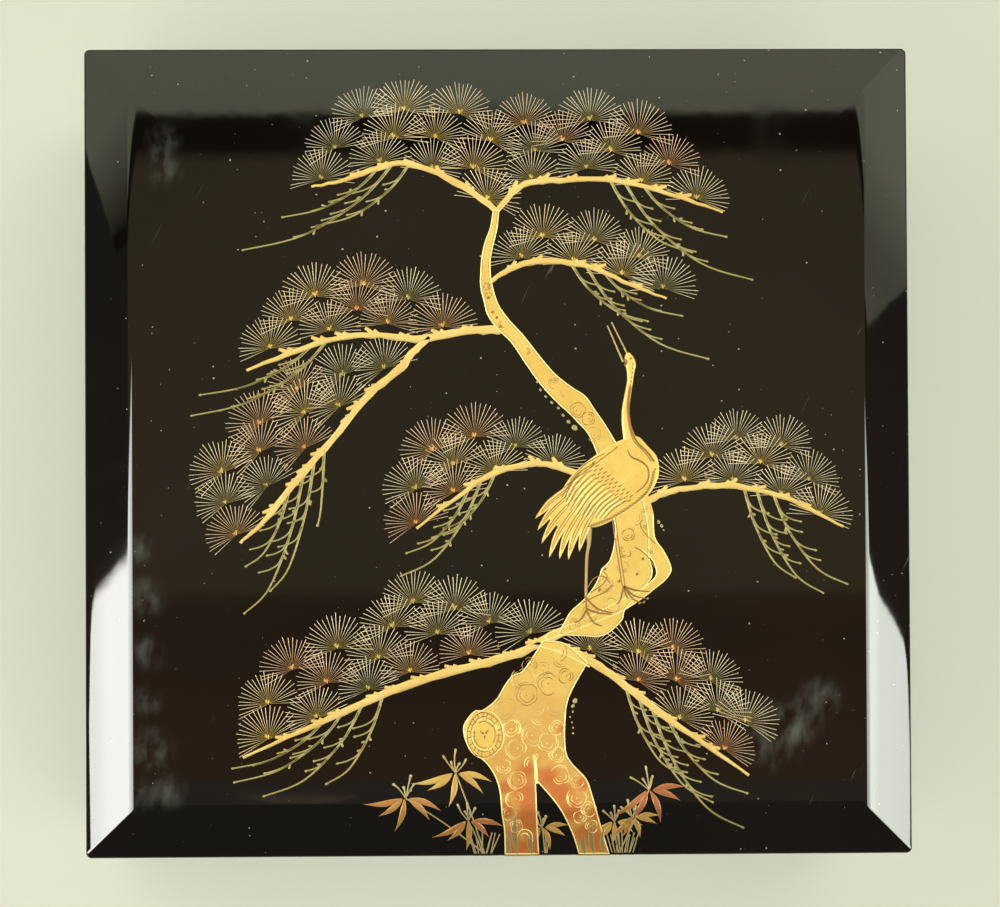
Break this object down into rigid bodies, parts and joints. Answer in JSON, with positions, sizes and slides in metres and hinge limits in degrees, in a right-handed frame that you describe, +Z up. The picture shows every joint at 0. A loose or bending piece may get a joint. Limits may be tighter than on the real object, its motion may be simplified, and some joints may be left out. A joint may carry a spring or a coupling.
{
  "type": "tiered lacquer food box",
  "caption": "Square stacking box of hollow trays with stepped feet under a shallow chamfered lid, in black lacquer with a gold picture on the lid.",
  "frame": {"origin": "middle of the bottom tray's underside, which rests on the table", "axes": "+Z up, +X across the wider side to the right as the lid's picture is read, -Y towards the front, where the picture's trunk stands"},
  "size_m": [0.24, 0.235, 0.2024],
  "materials": {
    "black_lacquer": "black lacquer over a wooden core, polished, with fine scratches and dust",
    "yellow_gold": "gold powder set in lacquer, satin, on the picture's trunk, boughs and crane",
    "pale_gold": "pale silvery gold lines on the picture's needles and twigs",
    "red_gold": "rust red gold powder on the picture's leaves and on some needles"
  },
  "bodies": {
    "root": {"tray_1": "black_lacquer", "tray_2": "black_lacquer", "tray_3": "black_lacquer", "lid": "black_lacquer"}
  },
  "joints": []
}
